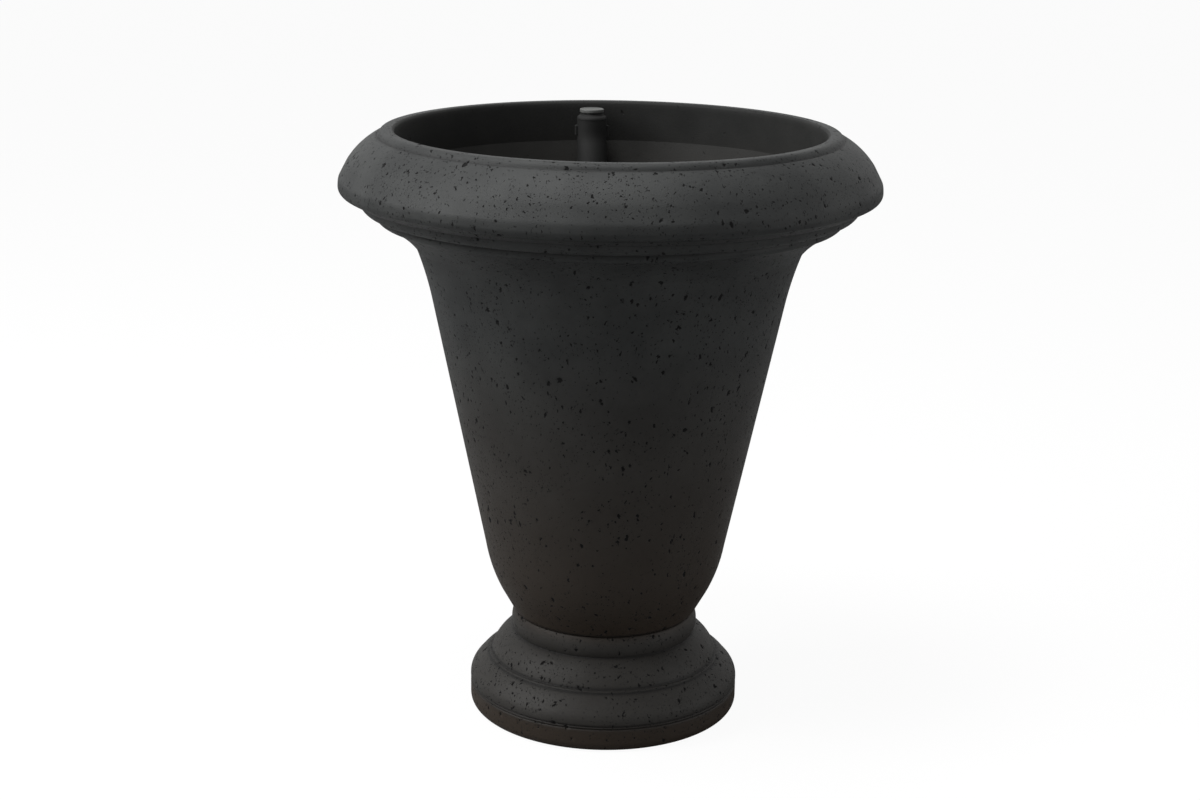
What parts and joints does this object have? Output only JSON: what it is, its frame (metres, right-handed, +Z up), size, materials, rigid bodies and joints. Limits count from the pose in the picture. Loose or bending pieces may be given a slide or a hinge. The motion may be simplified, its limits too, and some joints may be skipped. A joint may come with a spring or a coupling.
{
  "type": "urn planter",
  "caption": "Round urn planter on a stepped foot, with a rolled rim, a capped fill column, a slotted soil platform over a water reservoir, an overflow pipe and a screw plug.",
  "frame": {"origin": "on the floor, at the middle of the foot", "axes": "+Z up along the planter's height, +Y towards the fill column at the back of the mouth"},
  "size_m": [0.5587, 0.5588, 0.6287],
  "materials": {
    "stone_shell": "charcoal, pitted stone texture",
    "column_grey": "charcoal, smooth moulded",
    "cap_grey": "grey, smooth moulded",
    "liner_black": "black, smooth moulded",
    "fitting_black": "black, fine moulded grain",
    "seal_rubber": "black, dull",
    "bolt_steel": "plain stainless",
    "insert_brass": "turned brass"
  },
  "bodies": {
    "planter": {"foot": "stone_shell", "bowl": "stone_shell", "fill_tube": "column_grey", "fill_neck": "column_grey", "tube_clip": "column_grey", "soil_platform": "liner_black", "wick_cup": "liner_black", "drain_bushing": "fitting_black", "drain_nut": "fitting_black", "overflow_pipe": "fitting_black", "overflow_nut": "fitting_black", "drain_gasket": "seal_rubber", "overflow_gasket": "seal_rubber", "foot_bolts": "bolt_steel", "clip_screws": "bolt_steel", "bowl_inserts": "insert_brass"},
    "cap": {"fill_cap": "cap_grey", "cap_gasket": "seal_rubber"},
    "seal_ring": {"drain_seal": "seal_rubber"},
    "plug": {"drain_plug": "fitting_black"}
  },
  "joints": [
    {"name": "cap_lift", "type": "slide", "parent": "planter", "child": "cap", "axis": [0, 0, 1], "range_m": [0, 0.03]},
    {"name": "drain_travel", "type": "slide", "parent": "planter", "child": "seal_ring", "axis": [0, 0, -1], "range_m": [0, 0.012]},
    {"name": "drain_turn", "type": "hinge", "parent": "seal_ring", "child": "plug", "pos_m": [0, 0, 0.084], "axis": [0, 0, -1], "range_deg": [0, 1440]}
  ],
  "couplings": [
    {"joint": "drain_travel", "follows": "drain_turn", "m_per_rad": 0.00047746}
  ]
}
